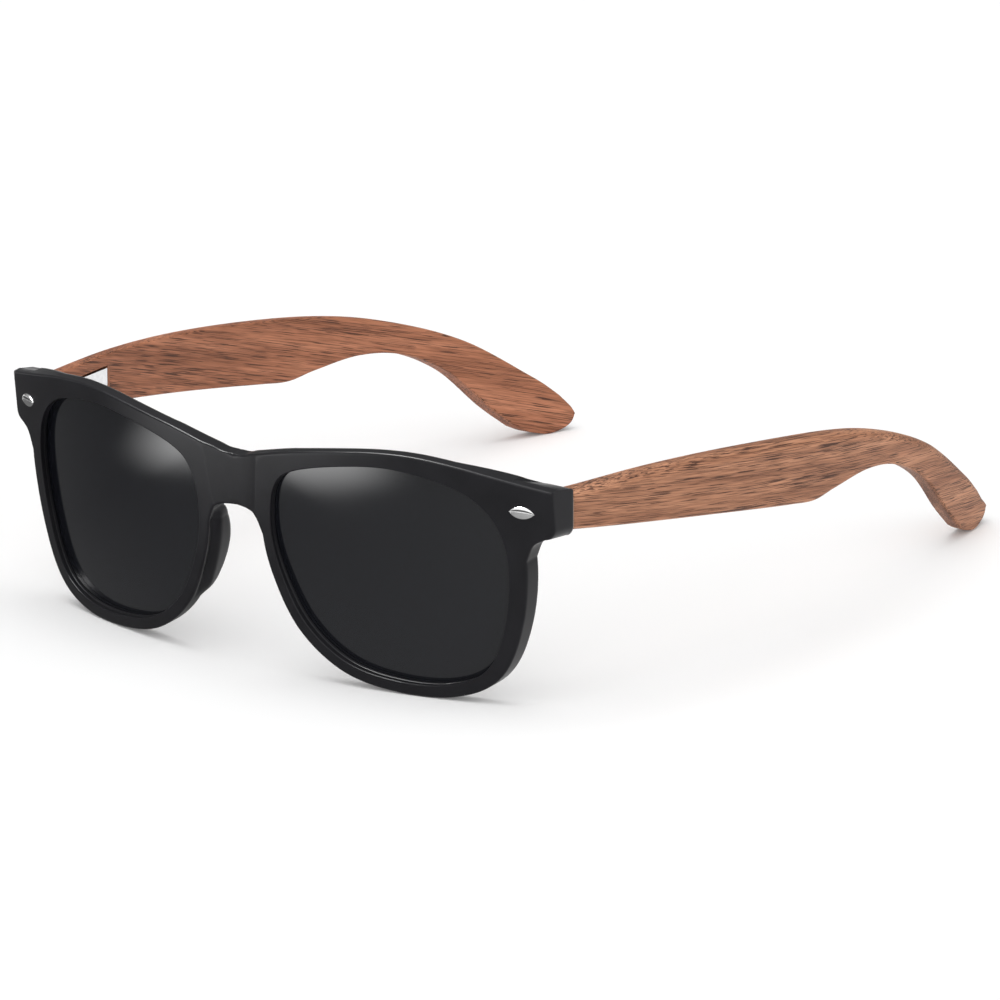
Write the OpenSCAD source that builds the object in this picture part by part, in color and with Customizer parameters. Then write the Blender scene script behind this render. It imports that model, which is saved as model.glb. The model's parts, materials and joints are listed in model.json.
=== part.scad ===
// Sunglasses with a moulded black front, riveted and sprung metal hinges and bowed walnut temples.
// +X is the wearer's left, the front faces -Y and +Z is up. The part stands on its rims and temple tips.

/* [Front] */
// Radius of the front's wrap, seen from above
front_wrap_r = 158; // [140:2:240]
// Thickness of the moulded rims
rim_t = 4.4; // [4.2:0.1:5.5]
// Angle by which the front leans forward where it stands
front_tilt = 7; // [4:0.5:10]
// Width of the rim above the lens opening
rim_top = 3.4; // [2.4:0.1:4]
// Width of the rim at the temple side of the lens opening
rim_side = 3.5; // [2.6:0.1:4]
// Width of the rim below the lens opening
rim_low = 2.5; // [2:0.1:4]
// Width of the rim at the nose side of the lens opening
rim_nose = 2.5; // [2:0.1:4]
// Height of the bridge, from its arch to its top edge
bridge_h = 11.8; // [8:0.2:13]
// Drop of the bridge's top edge below the brow
bridge_dip = 5.4; // [3:0.2:8]

/* [Lenses] */
// Width of a lens opening
lens_w = 51.6; // [48:0.2:54]
// Height of a lens opening
lens_h = 45.9; // [40:0.2:50]
// Gap between the two lens openings at the bridge
lens_gap = 18.8; // [17:0.2:22]
// Thickness of a lens
lens_t = 1.6; // [1.2:0.1:2]
// Depth of the lens face behind the rim's face
lens_recess = 2; // [1.2:0.1:2.1]
// Depth of the groove that holds the lens edge
lens_bite = 0.8; // [0.5:0.1:1.2]
// Clearance of the lens in its groove
lens_play = 0.08; // [0.04:0.01:0.15]

/* [Nose pads] */
// Reach of a moulded nose pad behind the rim's face
pad_reach = 8; // [5.5:0.1:9]
// Height of a nose pad
pad_h = 28; // [22:0.5:30]
// Width of a nose pad at its root
pad_w = 2.2; // [1.6:0.1:2.6]

/* [Endpieces] */
// Reach of an endpiece beyond the lens opening
end_reach = 9; // [8.6:0.1:11]
// Height of an endpiece
end_h = 9.4; // [9:0.1:12]
// Depth of an endpiece's outer side
end_depth = 7.2; // [6:0.1:9]
// Width of an endpiece behind the rim
end_w = 7.2; // [6.8:0.1:9]
// Drop of the endpiece's top corner below the brow
end_drop = 7.4; // [5:0.2:9]
// Length of the almond stud on an endpiece
stud_l = 5.3; // [4:0.1:7]
// Height of the almond stud
stud_h = 2.8; // [2:0.1:4]
// Height of the stud above the endpiece's middle
stud_lift = 1.2; // [0.8:0.1:1.4]
// Slope of the stud along the brow
stud_slope = 7; // [0:1:12]
// Diameter of the stud's post
stud_post_d = 1.4; // [1:0.1:1.6]

/* [Hinges] */
// Diameter of a hinge knuckle
knuckle_d = 3.2; // [2.8:0.1:3.4]
// Height of each of the two knuckles on the front
knuckle_h = 1.5; // [1.4:0.1:1.7]
// Height of the shank's eye between them
eye_h = 2; // [1.8:0.1:2.2]
// Diameter of the hinge screw
screw_d = 1.4; // [1:0.1:1.6]
// Running clearance on each hinge fit
hinge_play = 0.05; // [0.02:0.01:0.1]
// Distance of the hinge axis from the endpiece's outer side
hinge_inset = 5; // [4.8:0.1:5.2]
// Drop of the hinge's middle below the endpiece's middle
hinge_drop = 0.4; // [0:0.1:0.5]
// Travel of the sprung rod
spring_travel = 1.2; // [0.8:0.1:1.3]
// Thickness of the riveted hinge plate
plate_t = 1; // [0.8:0.1:1.2]
// Length of the spring housing
housing_l = 13; // [11:0.5:18]
// Height of the spring housing
housing_h = 4; // [3.8:0.1:4.4]
// Drop of the housing's middle below its bore
housing_drop = 0.5; // [0:0.1:0.6]
// Depth of the spring housing
housing_d = 2.9; // [2.7:0.1:3.1]
// Diameter of the bore in the spring housing
spring_bore = 2.1; // [1.9:0.05:2.2]
// Diameter of the shank's rod
rod_d = 1.2; // [1:0.05:1.3]
// Length of the bush that closes the housing's mouth
bush_l = 1.8; // [1.2:0.1:2.4]
// Length of the nut on the rod's end
nut_l = 1; // [0.8:0.1:1.4]

/* [Temples] */
// Length of a temple from the hinge axis to the tip
temple_l = 151.5; // [140:0.5:158]
// Thickness of the walnut
temple_t = 4; // [3.8:0.1:4.6]
// Height of the temple at the hinge
temple_h = 8.1; // [8:0.1:10]
// Height of the temple at its elbow, ahead of the ear hook
elbow_h = 14; // [11:0.5:16]
// Radius of the temple's bow, seen from above
bow_r = 365; // [300:5:600]
// Angle by which the temple splays out at the hinge
splay = 5.5; // [3:0.5:7]
// Gap between the endpiece and the end of the walnut
joint_gap = 0.5; // [0.45:0.05:0.8]

/* [Hidden] */
$fn = 64;
curve_steps = 6;
seat_play = 0.05;

// A smooth curve through points, as uniform Catmull-Rom spans of curve_steps points each
function span(a, b, c, d, t) =
    0.5 * (2 * b + (c - a) * t + (2 * a - 5 * b + 4 * c - d) * t * t + (3 * b - a - 3 * c + d) * t * t * t);
function closed_curve(p) = let (n = len(p))
    [for (i = [0 : n - 1], k = [0 : curve_steps - 1])
        span(p[(i + n - 1) % n], p[i], p[(i + 1) % n], p[(i + 2) % n], k / curve_steps)];
function open_curve(p) = let (n = len(p), q = concat([2 * p[0] - p[1]], p, [2 * p[n - 1] - p[n - 2]]))
    concat([for (i = [0 : n - 2], k = [0 : curve_steps - 1])
        span(q[i], q[i + 1], q[i + 2], q[i + 3], k / curve_steps)], [p[n - 1]]);
// The outward normal of a clockwise closed curve at its point i
function normal_at(p, i) = let (n = len(p), t = p[(i + 1) % n] - p[(i + n - 1) % n]) [-t[1], t[0]] / norm(t);
function grown(p, d) = [for (i = [0 : len(p) - 1]) p[i] + d * normal_at(p, i)];
function mirrored(p) = [for (i = [len(p) - 1 : -1 : 0]) [-p[i][0], p[i][1]]];

// Lens opening: a clockwise outline that starts at the nose, as shares of the opening's width and height
lens_in = lens_gap / 2;
lens_out = lens_in + lens_w;
opening = closed_curve([for (f = [
    [0, 0.634], [0.027, 0.828], [0.118, 0.924], [0.34, 0.985], [0.574, 1], [0.816, 0.932], [0.948, 0.8],
    [0.995, 0.6], [0.97, 0.32], [0.888, 0.094], [0.735, 0.005], [0.515, 0], [0.302, 0.06], [0.134, 0.213],
    [0.035, 0.434]
]) [lens_in + f[0] * lens_w, rim_low + f[1] * lens_h]]);
side_i = 7 * curve_steps;
low_i = 11 * curve_steps;
nose_i = 15 * curve_steps;

// Outer outline of the left half, clockwise from the bridge's top to its arch
end_u = lens_out + end_reach;
brow_v = rim_low + lens_h + rim_top;
bridge_v = brow_v - bridge_dip;
end_top = brow_v - end_drop;
end_low = end_top - end_h;
end_mid = (end_top + end_low) / 2;
corner_r = 2;
end_lip = 0.4;
end_skirt = 0.6;
arch_v = bridge_v - bridge_h;
brow = open_curve([
    [0, bridge_v], [lens_in * 0.3, bridge_v + 0.2], [lens_in * 0.65, bridge_v + 1.1],
    [lens_in + 0.17 * lens_w, brow_v - 1.9], [lens_in + 0.52 * lens_w, brow_v],
    [lens_in + 0.79 * lens_w, brow_v - 1.3], [end_u, end_top]
]);
function rim_at(i) = i < low_i
    ? rim_side + (rim_low - rim_side) * (i - side_i) / (low_i - side_i)
    : rim_low + (rim_nose - rim_low) * (i - low_i) / (nose_i - low_i);
rim_outer = [for (i = [side_i : nose_i - 1]) opening[i] + rim_at(i) * normal_at(opening, i)];
end_under = open_curve([
    [end_u - corner_r, end_low], [lens_out + rim_side + 1.2, end_low - 1.4], rim_outer[0]
]);
end_corner = [for (a = [0 : -15 : -90])
    [end_u - corner_r + corner_r * cos(a), end_low + corner_r + corner_r * sin(a)]];
arch_from = rim_outer[len(rim_outer) - 1];
arch = open_curve([
    arch_from, [arch_from[0] - 1.6, arch_v - 1.2], [arch_from[0] - 3.6, arch_v - 0.3], [0, arch_v]
]);
half_front = concat(
    brow, end_corner, [for (i = [1 : len(end_under) - 2]) end_under[i]],
    rim_outer, [for (i = [1 : len(arch) - 1]) arch[i]]
);
half_front_left = mirrored(half_front);
front_outline = concat(half_front, [for (i = [1 : len(half_front_left) - 2]) half_front_left[i]]);

// The front is drawn upright with its wrap, then leaned about X and set down on its rims
function sag(u) = front_wrap_r - sqrt(front_wrap_r * front_wrap_r - u * u);
function lean_y(p) = sag(p[0]) * cos(front_tilt) - p[1] * sin(front_tilt);
function lean_z(p) = sag(p[0]) * sin(front_tilt) + p[1] * cos(front_tilt);
front_low = min([for (p = front_outline) lean_z(p)]);
front_near = min([for (p = front_outline) lean_y(p)]);

// Hinge axis of the left side, with the hinge's own frame splayed about it
knuckle_r = knuckle_d / 2;
plate_y = -knuckle_r - 2 * hinge_play;
hinge_x = end_u - hinge_inset;
hinge_y = lean_y([end_u, end_mid]) + end_depth - plate_y;
end_z = lean_z([end_u - hinge_inset, end_mid]) - front_low;
hinge_z = end_z - hinge_drop;
stack_h = 2 * knuckle_h + eye_h + 2 * hinge_play;

// Side profile of a temple in the hinge's frame: distance behind the axis, height above the floor
wood_y = plate_y + joint_gap;
wood_out = hinge_inset - 0.5;
wood_in = wood_out - temple_t;
start_top = end_z + temple_h * 0.52;
start_low = start_top - temple_h;
elbow_y = temple_l * 0.5;
elbow_low = start_top - 5.8 - elbow_h;
top_edge = open_curve([
    [wood_y, start_top], [temple_l * 0.16, start_top - 0.5], [temple_l * 0.34, start_top - 2.8],
    [temple_l * 0.55, start_top - 7.3], [temple_l * 0.69, start_top - 12.6],
    [temple_l * 0.82, start_top - 20.7], [temple_l * 0.93, 13.2], [temple_l - 1.2, 6.4]
]);
tip_edge = open_curve([
    [temple_l - 1.2, 6.4], [temple_l, 3.6], [temple_l - 1.4, 1], [temple_l - 5.5, 0], [temple_l - 10, 1],
    [temple_l - 13.4, 2.6]
]);
hook_edge = open_curve([
    [temple_l - 13.4, 2.6], [temple_l - 20.5, 8.4], [temple_l - 31, elbow_low - 7.1],
    [temple_l - 43, elbow_low - 0.8], [temple_l - 55, elbow_low + 1.5], [elbow_y + 8, elbow_low + 0.9],
    [elbow_y, elbow_low + 0.15], [elbow_y - 8, elbow_low + 1.25]
]);
low_edge = open_curve([
    [elbow_y - 8, elbow_low + 1.25], [elbow_y * 0.5, (start_low + elbow_low) / 2 + 0.2], [wood_y, start_low]
]);
temple_outline = concat(
    top_edge, [for (i = [1 : len(tip_edge) - 1]) tip_edge[i]],
    [for (i = [1 : len(hook_edge) - 1]) hook_edge[i]], [for (i = [1 : len(low_edge) - 1]) low_edge[i]]
);
bow_y = housing_l;
function bow_x(y, r) = sqrt(r * r - (y - bow_y) * (y - bow_y)) - bow_r + wood_out;
temple_low = min([for (p = temple_outline) p[1]]);
temple_far = max([for (p = temple_outline)
    hinge_y + p[0] * cos(splay) - bow_x(p[0], bow_r - temple_t) * sin(splay)]);
origin_y = (front_near + temple_far) / 2;

// Sprung hinge, along the rod from the axis
housing_x = wood_in - 0.2;
rod_x = housing_x + housing_d / 2;
housing_y = knuckle_r + 2;
housing_wall = 0.8;
rod_end = housing_y + housing_l - housing_wall - 1.4;
nut_y = rod_end - nut_l - 0.2;
pocket_play = 0.45;
pocket_r = knuckle_r + pocket_play;

module on_side(right) {
    mirror([right ? 1 : 0, 0, 0]) children();
}

module in_front() {
    translate([0, -origin_y, -front_low]) rotate([front_tilt, 0, 0]) children();
}

module in_hinge() {
    translate([hinge_x, hinge_y - origin_y, 0]) rotate([0, 0, -splay]) children();
}

// A plan outline pushed back from well ahead of the front
module pushed(points) {
    rotate([90, 0, 0]) translate([0, 0, -front_wrap_r]) linear_extrude(1.1 * front_wrap_r) polygon(points);
}

// The wrapped layer between two depths behind the front's face
module layer(near, far) {
    translate([0, front_wrap_r, -front_wrap_r]) difference() {
        cylinder(r = front_wrap_r - near, h = 2 * front_wrap_r, $fn = 128);
        translate([0, 0, -1]) cylinder(r = front_wrap_r - far, h = 2 * front_wrap_r + 2, $fn = 128);
    }
}

module almond(l, h) {
    r = (l * l + h * h) / (4 * h);
    intersection_for (s = [-1, 1]) translate([0, s * (r - h / 2)]) circle(r);
}

// The stud's own frame: on the front's face, its axis square to the face
stud_u = hinge_x - 0.8;
module at_stud() {
    in_front() translate([stud_u, sag(stud_u), end_mid + stud_lift])
        rotate([0, 0, asin(stud_u / front_wrap_r)]) rotate([90, 0, 0]) rotate([0, 0, -stud_slope]) children();
}

stud_sink = 0.5;
stud_dome = 0.55;
post_x = stud_u - hinge_x + 0.4;
post_z = end_z + stud_lift;
module stud_post(d, grow) {
    length = end_depth + 4;
    in_hinge() translate([post_x, plate_y, post_z]) rotate([90, 0, 0])
        translate([0, 0, -grow]) cylinder(d = d, h = length + grow);
}

// Everything behind the front's face, so that nothing stands proud of it
module behind_face(depth) {
    translate([0, front_wrap_r, -front_wrap_r])
        cylinder(r = front_wrap_r - depth, h = 2 * front_wrap_r, $fn = 128);
}

module front_stud() color("silver") {
    dome_r = (stud_l * stud_l / 4 + stud_dome * stud_dome) / (2 * stud_dome);
    intersection() {
        at_stud() translate([0, 0, -stud_sink])
            linear_extrude(stud_sink + stud_dome + 1) almond(stud_l, stud_h);
        at_stud() translate([0, 0, stud_dome - dome_r]) sphere(dome_r, $fn = 96);
    }
    intersection() {
        stud_post(stud_post_d, 0);
        in_front() behind_face(stud_sink / 2);
    }
}

// The block behind the rim that turns the corner to the temple, cut square to the temple
module endpiece() {
    intersection() {
        in_front() intersection() {
            behind_face(rim_t / 2);
            translate([end_u - end_w, 0, end_low - end_skirt])
                cube([2 * end_w, front_wrap_r, end_h + end_drop]);
        }
        in_hinge() translate([-2 * end_w, plate_y - 4 * end_depth, 0])
            cube([4 * end_w, 4 * end_depth, start_top + end_lip]);
    }
}

// A nose pad: the rim's nose strip carried back inside a D-shaped side profile
module nose_pad() {
    outside = [for (i = [low_i : nose_i - 1]) opening[i] + (rim_at(i) + pad_w) * normal_at(opening, i)];
    inside = [for (i = [nose_i - 2 : -1 : low_i]) opening[i] + (rim_at(i) - pad_w) * normal_at(opening, i)];
    pad_mid = arch_v - pad_h / 2;
    in_front() intersection() {
        pushed(concat(outside, inside));
        behind_face(rim_t / 2);
        translate([0, 0, pad_mid]) rotate([90, 0, 90]) linear_extrude(end_u)
            polygon([for (a = [4 : 8 : 356]) [pad_reach * cos(a), pad_h / 2 * sin(a) + pad_h / 14 * cos(a)]]);
    }
}

module lens_seat(side) {
    points = side > 0 ? opening : mirrored(opening);
    wider = grown(opening, lens_bite + lens_play);
    groove = side > 0 ? wider : mirrored(wider);
    pushed(points);
    intersection() {
        pushed(groove);
        layer(lens_recess - lens_play, lens_recess + lens_t + lens_play);
    }
}

module hinge_plate(grow) {
    plate_in = -knuckle_r;
    plate_out = hinge_inset - 2;
    plate_h = stack_h + 0.8;
    in_hinge() translate([plate_in - grow, plate_y - plate_t, hinge_z - plate_h / 2 - grow])
        cube([plate_out - plate_in + 2 * grow, plate_t + 4 * grow, plate_h + 2 * grow]);
}

module front_frame() color([0.07, 0.07, 0.08]) difference() {
    intersection() {
        in_front() pushed(front_outline);
        union() {
            in_front() layer(0, rim_t);
            for (right = [false, true]) on_side(right) {
                endpiece();
                nose_pad();
            }
        }
    }
    in_front() for (side = [-1, 1]) lens_seat(side);
    for (right = [false, true]) on_side(right) {
        hinge_plate(seat_play);
        stud_post(stud_post_d + 2 * seat_play, 1);
        at_stud() translate([0, 0, -stud_sink])
            linear_extrude(2 * stud_sink) almond(stud_l + 4 * seat_play, stud_h + 2 * seat_play);
    }
}

module lens() color([0.16, 0.16, 0.18, 0.9]) in_front() intersection() {
    pushed(grown(opening, lens_bite));
    layer(lens_recess, lens_recess + lens_t);
}

head_d = screw_d + 0.8;
head_h = 0.6;
module front_hinge() color("gainsboro") difference() {
    union() {
        hinge_plate(0);
        in_hinge() for (s = [-1, 1]) translate([0, 0, hinge_z + s * (stack_h - knuckle_h) / 2]) {
            cylinder(r = knuckle_r, h = knuckle_h, center = true);
            translate([-knuckle_r * 0.8, plate_y - plate_t / 2, -knuckle_h / 2])
                cube([knuckle_r * 1.6, plate_t / 2 - plate_y, knuckle_h]);
        }
    }
    in_hinge() translate([0, 0, hinge_z - stack_h]) cylinder(d = screw_d + 2 * hinge_play, h = 2 * stack_h);
    in_hinge() translate([0, 0, hinge_z + stack_h / 2 - head_h])
        cylinder(d = head_d + 2 * hinge_play, h = stack_h);
    stud_post(stud_post_d + 2 * seat_play, seat_play);
}

slot_w = 0.35;
slot_depth = 0.25;
module hinge_screw() color("silver") in_hinge() translate([0, 0, hinge_z]) difference() {
    union() {
        translate([0, 0, -stack_h / 2]) cylinder(d = screw_d, h = stack_h);
        translate([0, 0, stack_h / 2 - head_h]) cylinder(d = head_d, h = head_h);
    }
    translate([-head_d, -slot_w / 2, stack_h / 2 - slot_depth]) cube([2 * head_d, slot_w, 1]);
}

module along_rod(d, from, to) {
    translate([rod_x, from, hinge_z]) rotate([-90, 0, 0]) cylinder(d = d, h = to - from);
}

module hinge_shank() color("silver") in_hinge() difference() {
    union() {
        translate([0, 0, hinge_z]) cylinder(r = knuckle_r, h = eye_h, center = true);
        translate([0.2, 0.2, hinge_z - eye_h / 2]) cube([pocket_r - 0.4, housing_y - seat_play - 0.2, eye_h]);
        translate([0.2, spring_travel + 0.2, hinge_z - eye_h / 2])
            cube([housing_x + housing_d - 0.4, housing_y - seat_play - spring_travel - 0.2, eye_h]);
        along_rod(rod_d, knuckle_r, rod_end);
    }
    translate([0, 0, hinge_z - eye_h]) cylinder(d = screw_d + 2 * hinge_play, h = 2 * eye_h);
}

module sleeve(outer_d, inner_d, from, to) {
    difference() {
        along_rod(outer_d, from, to);
        along_rod(inner_d, from - 1, to + 1);
    }
}

module lock_bush() color("goldenrod") in_hinge()
    sleeve(spring_bore - 2 * hinge_play, rod_d + 2 * hinge_play, housing_y, housing_y + bush_l);

module hinge_spring() color("slategray") in_hinge()
    sleeve(spring_bore - 4 * hinge_play, rod_d + 4 * hinge_play, housing_y + bush_l, nut_y);

module rod_nut() color("goldenrod") in_hinge()
    sleeve(spring_bore - 4 * hinge_play, rod_d + 2 * hinge_play, nut_y, nut_y + nut_l);

module spring_housing() color("silver") in_hinge() difference() {
    translate([housing_x, housing_y, hinge_z - housing_drop - housing_h / 2])
        cube([housing_d, housing_l, housing_h]);
    along_rod(spring_bore, housing_y - 1, housing_y + housing_l - housing_wall);
}

module temple() color([0.5, 0.34, 0.24]) in_hinge() difference() {
    intersection() {
        rotate([90, 0, 90]) translate([0, 0, -temple_l]) linear_extrude(2 * temple_l)
            polygon([for (p = temple_outline) [p[0], p[1] - temple_low]]);
        translate([wood_out - bow_r, bow_y, -1]) difference() {
            cylinder(r = bow_r, h = 2 * hinge_z, $fn = 128);
            translate([0, 0, -1]) cylinder(r = bow_r - temple_t, h = 2 * hinge_z + 2, $fn = 128);
        }
    }
    pocket_h = stack_h + 2 * pocket_play;
    translate([0, 0, hinge_z - pocket_h / 2]) {
        cylinder(r = pocket_r, h = pocket_h);
        translate([-pocket_r, 2 * wood_y, 0]) cube([2 * pocket_r, -2 * wood_y, pocket_h]);
    }
    recess_h = housing_h + 2 * seat_play;
    translate([wood_in - temple_t, 0, hinge_z - housing_drop - recess_h / 2])
        cube([temple_t + housing_x + housing_d + seat_play - wood_in, housing_y + housing_l + seat_play,
            recess_h]);
}

front_frame();
on_side(false) lens();  // left_lens
on_side(true) lens();  // right_lens
on_side(false) front_stud();  // left_front_stud
on_side(true) front_stud();  // right_front_stud
on_side(false) front_hinge();  // left_front_hinge
on_side(true) front_hinge();  // right_front_hinge
on_side(false) hinge_screw();  // left_hinge_screw
on_side(true) hinge_screw();  // right_hinge_screw
on_side(false) hinge_shank();  // left_hinge_shank
on_side(true) hinge_shank();  // right_hinge_shank
on_side(false) rod_nut();  // left_rod_nut
on_side(true) rod_nut();  // right_rod_nut
on_side(false) hinge_spring();  // left_hinge_spring
on_side(true) hinge_spring();  // right_hinge_spring
on_side(false) lock_bush();  // left_lock_bush
on_side(true) lock_bush();  // right_lock_bush
on_side(false) spring_housing();  // left_spring_housing
on_side(true) spring_housing();  // right_spring_housing
on_side(false) temple();  // left_temple
on_side(true) temple();  // right_temple
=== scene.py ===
import json
import math

import bmesh
import bpy
import numpy as np
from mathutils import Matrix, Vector


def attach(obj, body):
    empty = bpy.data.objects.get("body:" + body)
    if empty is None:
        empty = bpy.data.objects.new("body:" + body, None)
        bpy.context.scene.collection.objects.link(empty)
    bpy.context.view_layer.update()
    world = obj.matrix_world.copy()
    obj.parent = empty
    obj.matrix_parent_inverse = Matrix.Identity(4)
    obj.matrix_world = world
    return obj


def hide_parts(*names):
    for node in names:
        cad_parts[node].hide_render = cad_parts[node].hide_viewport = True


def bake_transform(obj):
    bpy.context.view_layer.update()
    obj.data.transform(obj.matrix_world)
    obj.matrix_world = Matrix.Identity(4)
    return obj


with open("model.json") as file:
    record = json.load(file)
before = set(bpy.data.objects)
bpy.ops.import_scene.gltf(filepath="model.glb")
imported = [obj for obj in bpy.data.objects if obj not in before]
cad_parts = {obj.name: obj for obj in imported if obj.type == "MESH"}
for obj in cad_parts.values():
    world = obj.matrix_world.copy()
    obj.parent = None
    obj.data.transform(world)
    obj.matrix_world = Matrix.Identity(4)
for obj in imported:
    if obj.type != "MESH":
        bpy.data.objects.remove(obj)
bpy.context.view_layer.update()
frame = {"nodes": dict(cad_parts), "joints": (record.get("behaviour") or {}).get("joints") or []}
print("frame loaded:", len(frame["nodes"]), "nodes")

mm = 0.001
sides = {"left": 1, "right": -1}

# the upright front and the hinges, in millimetres and radians; the fold joint gives their place in the row frame
frontPlace = {"wrapRadius": 158.0, "tilt": math.radians(7.0)}
hingePlace = {
    "splay": math.radians(5.5), "plateY": -1.7, "plateGap": 0.04, "drop": 0.4,
    "endDepth": 7.2, "endAcross": 70.0, "endMiddle": 39.7,
}
leftFold = next(joint for joint in frame["joints"] if joint["name"] == "left_fold")
hingePlace["x"], hingePlace["y"], hingePlace["z"] = (value / mm for value in leftFold["pos_m"])


def sag(u):
    # how far a wrapped face falls back at a distance u from the middle: r - sqrt(r^2 - u^2)
    r = frontPlace["wrapRadius"]
    return r - np.sqrt(r * r - u * u)


def leaned(w, v):
    # (depth, height) after the lean about X by the tilt
    c, s = math.cos(frontPlace["tilt"]), math.sin(frontPlace["tilt"])
    return w * c - v * s, w * s + v * c


# the hinge axis stands behind the endpiece by its depth and the plate's offset, and at its middle less the drop
endBack = leaned(sag(hingePlace["endAcross"]), hingePlace["endMiddle"])[0]
endHigh = leaned(sag(hingePlace["x"]), hingePlace["endMiddle"])[1]
frontPlace["originY"] = endBack + hingePlace["endDepth"] - hingePlace["plateY"] - hingePlace["y"]
frontPlace["low"] = endHigh - hingePlace["drop"] - hingePlace["z"]


def placeFront(u, w, v):
    # leans (across, depth, height) about X by the tilt and sets the front down on its rims
    y, z = leaned(w, v)
    return np.stack([u + 0 * y, y - frontPlace["originY"], z - frontPlace["low"]], -1) * mm


def placeHinge(x, y, z, side):
    # turns the hinge's own (out, back, up) by the splay about its axis; side is 1 left, -1 right
    c, s = math.cos(hingePlace["splay"]), math.sin(hingePlace["splay"])
    across = hingePlace["x"] + x * c + y * s
    back = hingePlace["y"] - x * s + y * c
    return np.stack([side * across, back, z + 0 * back], -1) * mm


def smoothThrough(points, t, closed=False):
    # uniform Catmull-Rom: each span is the cubic through its two points with half its neighbours' chord as slope
    p = np.asarray(points, float)
    n = len(p)
    if closed:
        i = np.floor(t).astype(int)
        a, b, c, d = p[(i - 1) % n], p[i % n], p[(i + 1) % n], p[(i + 2) % n]
    else:
        q = np.vstack([2 * p[0] - p[1], p, 2 * p[-1] - p[-2]])
        i = np.clip(np.floor(t).astype(int), 0, n - 2)
        a, b, c, d = q[i], q[i + 1], q[i + 2], q[i + 3]
    f = (t - i)[:, None]
    square, cube = 2 * a - 5 * b + 4 * c - d, 3 * b - a - 3 * c + d
    return 0.5 * (2 * b + (c - a) * f + square * f**2 + cube * f**3)


def denseCurve(points):
    # an open smooth curve, with thirty places for each of its points
    return smoothThrough(points, np.linspace(0, len(points) - 1, 30 * len(points)))


def atShare(points, share):
    # the point at a share of a polyline's length
    run = np.concatenate([[0], np.cumsum(np.linalg.norm(np.diff(points, axis=0), axis=1))])
    return np.stack([np.interp(share * run[-1], run, points[:, k]) for k in range(points.shape[1])], -1)


def smoothStep(x, low, high):
    # 3q^2 - 2q^3 with q the clipped share of x between low and high
    q = np.clip((x - low) / (high - low), 0, 1)
    return q * q * (3 - 2 * q)


def roundOff(d, r):
    # depth lost to a quarter-round edge at a distance d from it: r - sqrt(r^2 - (r - d)^2)
    e = np.clip(r - d, 0, r)
    return r - np.sqrt(r * r - e * e)


def edgeDistance(u, v, starts, ends):
    # least distance of each point of a grid to a set of segments, one row of the grid at a time
    out = np.empty_like(u)
    along = ends - starts
    span = np.maximum((along**2).sum(1), 1e-12)
    for row in range(u.shape[0]):
        du = u[row][:, None] - starts[:, 0]
        dv = v[row][:, None] - starts[:, 1]
        f = np.clip((du * along[:, 0] + dv * along[:, 1]) / span, 0, 1)
        out[row] = np.sqrt(((du - f * along[:, 0]) ** 2 + (dv - f * along[:, 1]) ** 2).min(1))
    return out


def capEnds(grid):
    # a grid whose columns are sections, with the mean of the first and of the last added to close the ends
    middle = np.broadcast_to(grid.mean(0), grid.shape)
    return np.concatenate([middle[:, :1], grid, middle[:, -1:]], 1)


def gridQuads(rows, cols, closeRows=False, closeCols=False):
    # quads of a grid of points numbered row by row, wrapped round where it closes
    r, c = np.meshgrid(np.arange(rows - (not closeRows)), np.arange(cols - (not closeCols)), indexing="ij")
    r2, c2 = (r + 1) % rows, (c + 1) % cols
    return np.stack([r * cols + c, r2 * cols + c, r2 * cols + c2, r * cols + c2], -1).reshape(-1, 4)


def newPiece(name, points, faces, material, sharpAngle=38):
    # a mesh piece: doubles merged, normals recalculated outwards, smooth shaded with sharp edges by angle
    mesh = bpy.data.meshes.new(name)
    mesh.from_pydata(np.asarray(points).reshape(-1, 3).tolist(), [], [list(f) for f in faces])
    work = bmesh.new()
    work.from_mesh(mesh)
    bmesh.ops.remove_doubles(work, verts=work.verts, dist=1.5e-6)
    bmesh.ops.dissolve_degenerate(work, edges=work.edges, dist=5e-7)
    loose = [v for v in work.verts if not v.link_faces]
    bmesh.ops.delete(work, geom=loose, context="VERTS")
    bmesh.ops.recalc_face_normals(work, faces=work.faces)
    work.to_mesh(mesh)
    work.free()
    mesh.shade_smooth()
    mesh.set_sharp_from_angle(angle=math.radians(sharpAngle))
    mesh.materials.append(material)
    piece = bpy.data.objects.new(name, mesh)
    bpy.context.scene.collection.objects.link(piece)
    return piece


def vertexValues(values, key, count):
    # one vector for each vertex, as an array
    flat = np.empty(count * 3, np.float32)
    values.foreach_get(key, flat)
    return flat.reshape(-1, 3)


def mark(mesh, name, values):
    # a number for each vertex, which a material reads by name
    attribute = mesh.attributes.new(name, "FLOAT", "POINT")
    attribute.data.foreach_set("value", values.astype(np.float32))


def settle(piece, body, slotName, *nodes):
    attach(piece, body)
    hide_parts(*nodes)


def newMaterial(name):
    material = bpy.data.materials.new(name)
    material.use_nodes = True
    tree = material.node_tree
    return material, tree, tree.nodes["Principled BSDF"]


def add(tree, kind, **values):
    # a node with its properties and unlinked inputs set by name
    node = tree.nodes.new(kind)
    for key, value in values.items():
        if key in node.inputs:
            node.inputs[key].default_value = value
        else:
            setattr(node, key, value)
    return node


def feed(tree, socket, value):
    # links another node's output into a socket, or sets a plain value
    if isinstance(value, bpy.types.NodeSocket):
        tree.links.new(value, socket)
    else:
        socket.default_value = value


def scaled(tree, where, scale):
    # a pattern's coordinates, scaled about their origin
    mapping = add(tree, "ShaderNodeMapping", Scale=scale)
    feed(tree, mapping.inputs["Vector"], where)
    return mapping.outputs["Vector"]


def onPiece(tree, scale):
    return scaled(tree, add(tree, "ShaderNodeTexCoord").outputs["Object"], scale)


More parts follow.
